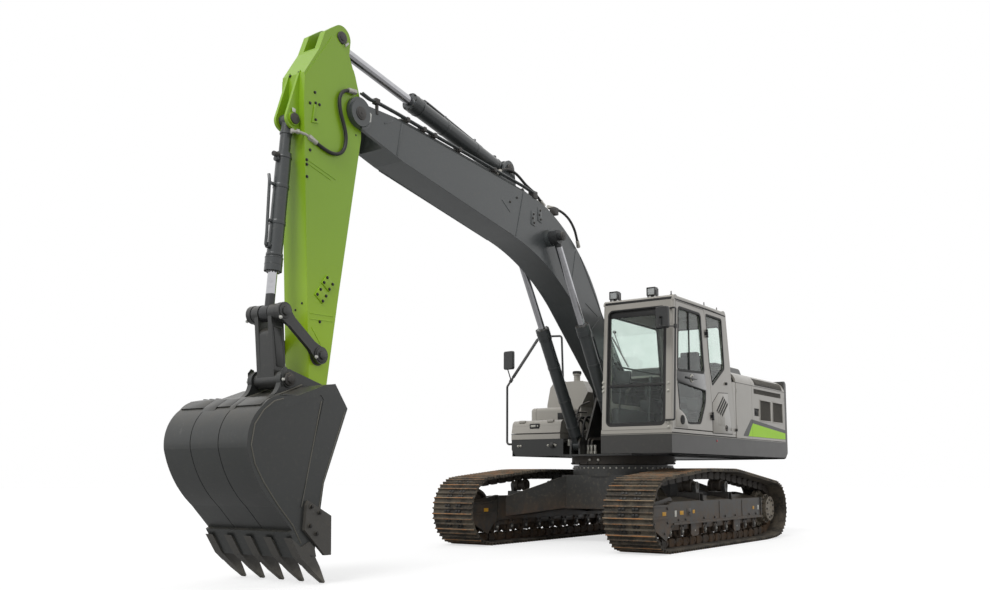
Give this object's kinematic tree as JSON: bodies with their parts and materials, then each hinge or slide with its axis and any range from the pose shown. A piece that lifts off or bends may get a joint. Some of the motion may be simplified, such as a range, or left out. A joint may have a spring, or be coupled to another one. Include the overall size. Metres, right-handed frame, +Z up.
{
  "type": "crawler excavator",
  "caption": "Tracked excavator with a slewing cab and engine house, curved boom, arm and toothed bucket moved by hydraulic cylinders.",
  "frame": {"origin": "on the slew axis, at the level of the ground that the tracks stand on", "axes": "+X forward along the tracks and the boom, +Y to the operator's left, +Z up along the slew axis"},
  "size_m": [9.6164, 3.0478, 4.8844],
  "materials": {
    "chassis_paint": "satin",
    "track_steel": "rough",
    "house_paint": "satin",
    "counterweight_paint": "satin",
    "hood_paint": "satin",
    "engine_iron": "rough",
    "cab_paint": "satin",
    "cab_glass": "clear",
    "seat_cloth": "matte",
    "console_plastic": "matte",
    "lamp_plastic": "gloss",
    "boom_paint": "satin",
    "arm_paint": "satin",
    "rod_chrome": "polished",
    "pin_steel": "satin",
    "bucket_paint": "matte",
    "tooth_steel": "rough"
  },
  "bodies": {
    "undercarriage": {"car_body": "chassis_paint", "track_frame_left": "chassis_paint", "track_frame_right": "chassis_paint", "track_left": "track_steel", "track_right": "track_steel", "idlers": "track_steel", "sprockets": "track_steel", "track_rollers": "chassis_paint", "slew_ring_inner": "track_steel"},
    "upper": {"battery_box": "house_paint", "boom_foot_pins": "pin_steel", "cab_floor": "cab_paint", "cab_front_frame": "cab_paint", "cab_glass": "cab_glass", "cab_grab_rail": "hood_paint", "cab_left_frame": "cab_paint", "cab_mirror": "hood_paint", "cab_rear_wall": "cab_paint", "cab_right_wall": "cab_paint", "cab_roof": "cab_paint", "control_consoles": "console_plastic", "counterweight": "counterweight_paint", "deck_mirror": "hood_paint", "deck_rail": "hood_paint", "engine": "engine_iron", "fuel_tank": "house_paint", "hood_deck": "house_paint", "hydraulic_tank": "house_paint", "operator_seat": "seat_cloth", "revolving_frame": "chassis_paint", "side_skirts": "chassis_paint", "slew_ring_outer": "track_steel", "toolbox": "house_paint", "work_lamps": "lamp_plastic"},
    "cab_door": {"cab_door": "cab_paint", "door_glass": "cab_glass"},
    "left_front_door": {"left_front_door": "house_paint"},
    "left_rear_door": {"left_rear_door": "house_paint"},
    "pump_door": {"pump_door": "house_paint"},
    "engine_hood": {"engine_hood": "hood_paint"},
    "toolbox_lid": {"toolbox_lid": "house_paint"},
    "boom": {"boom": "boom_paint"},
    "boom_barrels": {"boom_barrel_left": "boom_paint", "boom_barrel_right": "boom_paint"},
    "boom_rods": {"boom_rod_left": "rod_chrome", "boom_rod_right": "rod_chrome"},
    "arm_barrel": {"arm_barrel": "boom_paint"},
    "arm_rod": {"arm_rod": "rod_chrome"},
    "arm": {"arm": "arm_paint"},
    "bucket_barrel": {"bucket_barrel": "boom_paint"},
    "bucket_rod": {"bucket_rod": "rod_chrome"},
    "side_links": {"side_links": "bucket_paint"},
    "bucket": {"bucket": "bucket_paint", "bucket_teeth": "tooth_steel", "side_cutters": "bucket_paint"},
    "bucket_link": {"bucket_link": "bucket_paint"}
  },
  "joints": [
    {"name": "swing", "type": "hinge", "parent": "undercarriage", "child": "upper", "pos_m": [0, 0, 1], "axis": [0, 0, 1], "continuous": true},
    {"name": "boom_lift", "type": "hinge", "parent": "upper", "child": "boom", "pos_m": [0.15, 0, 1.85], "axis": [0, -1, 0], "range_deg": [-66, 37]},
    {"name": "boom_barrel_tilt", "type": "hinge", "parent": "upper", "child": "boom_barrels", "pos_m": [0.68, 0, 1.25], "axis": [0, -1, 0], "range_deg": [-68.54, 38.64]},
    {"name": "boom_rod_travel", "type": "slide", "parent": "boom_barrels", "child": "boom_rods", "axis": [0.5209, 0, 0.8536], "range_m": [-0.8596, 0.4832]},
    {"name": "arm_swing", "type": "hinge", "parent": "boom", "child": "arm", "pos_m": [5.3, 0, 4.115], "axis": [0, 1, 0], "range_deg": [-78, 40]},
    {"name": "arm_barrel_tilt", "type": "hinge", "parent": "boom", "child": "arm_barrel", "pos_m": [2.83, 0, 4.27], "axis": [0, 1, 0], "range_deg": [-1.86, 1.1]},
    {"name": "arm_rod_travel", "type": "slide", "parent": "arm_barrel", "child": "arm_rod", "axis": [0.9829, 0, 0.1841], "range_m": [-0.8589, 0.4419]},
    {"name": "bucket_curl", "type": "hinge", "parent": "arm", "child": "bucket", "pos_m": [5.695, 0, 1.5], "axis": [0, 1, 0], "range_deg": [-25, 140]},
    {"name": "side_link_tilt", "type": "hinge", "parent": "arm", "child": "side_links", "pos_m": [5.71, 0, 1.86], "axis": [0, 1, 0], "range_deg": [-18, 98.5]},
    {"name": "bucket_link_tilt", "type": "hinge", "parent": "bucket", "child": "bucket_link", "pos_m": [6.08, 0, 1.625], "axis": [0, 1, 0], "range_deg": [-82.2, 15.09]},
    {"name": "bucket_barrel_tilt", "type": "hinge", "parent": "arm", "child": "bucket_barrel", "pos_m": [5.99, 0, 3.872], "axis": [0, 1, 0], "range_deg": [-0.7, 2.54]},
    {"name": "bucket_rod_travel", "type": "slide", "parent": "bucket_barrel", "child": "bucket_rod", "axis": [0.0825, 0, -0.9966], "range_m": [-0.147, 0.8093]},
    {"name": "cab_door_swing", "type": "hinge", "parent": "upper", "child": "cab_door", "pos_m": [0.236, 1.393, 1.58], "axis": [0.1245, 0, 0.9922], "range_deg": [0, 165]},
    {"name": "left_front_door_swing", "type": "hinge", "parent": "upper", "child": "left_front_door", "pos_m": [-0.578, 1.365, 1.6], "axis": [0, 0, 1], "range_deg": [-100, 0]},
    {"name": "left_rear_door_swing", "type": "hinge", "parent": "upper", "child": "left_rear_door", "pos_m": [-2.437, 1.365, 1.6], "axis": [0, 0, 1], "range_deg": [0, 100]},
    {"name": "pump_door_swing", "type": "hinge", "parent": "upper", "child": "pump_door", "pos_m": [-2.437, -1.365, 1.6], "axis": [0, 0, 1], "range_deg": [-100, 0]},
    {"name": "engine_hood_lift", "type": "hinge", "parent": "upper", "child": "engine_hood", "pos_m": [-1.382, 0, 2.254], "axis": [0, 1, 0], "range_deg": [0, 60]},
    {"name": "toolbox_lid_lift", "type": "hinge", "parent": "upper", "child": "toolbox_lid", "pos_m": [0.176, -0.9, 1.606], "axis": [0, -1, 0], "range_deg": [0, 70]}
  ],
  "couplings": [
    {"joint": "boom_barrel_tilt", "follows": "boom_lift", "ratio": 1.0308},
    {"joint": "boom_rod_travel", "follows": "boom_lift", "m_per_rad": 0.74362},
    {"joint": "arm_barrel_tilt", "follows": "arm_swing", "ratio": 0.02},
    {"joint": "arm_rod_travel", "follows": "arm_swing", "m_per_rad": 0.6287},
    {"joint": "side_link_tilt", "follows": "bucket_curl", "ratio": 0.7},
    {"joint": "bucket_link_tilt", "follows": "bucket_curl", "ratio": -0.5836},
    {"joint": "bucket_barrel_tilt", "follows": "bucket_curl", "ratio": 0.016},
    {"joint": "bucket_rod_travel", "follows": "bucket_curl", "m_per_rad": 0.33}
  ]
}
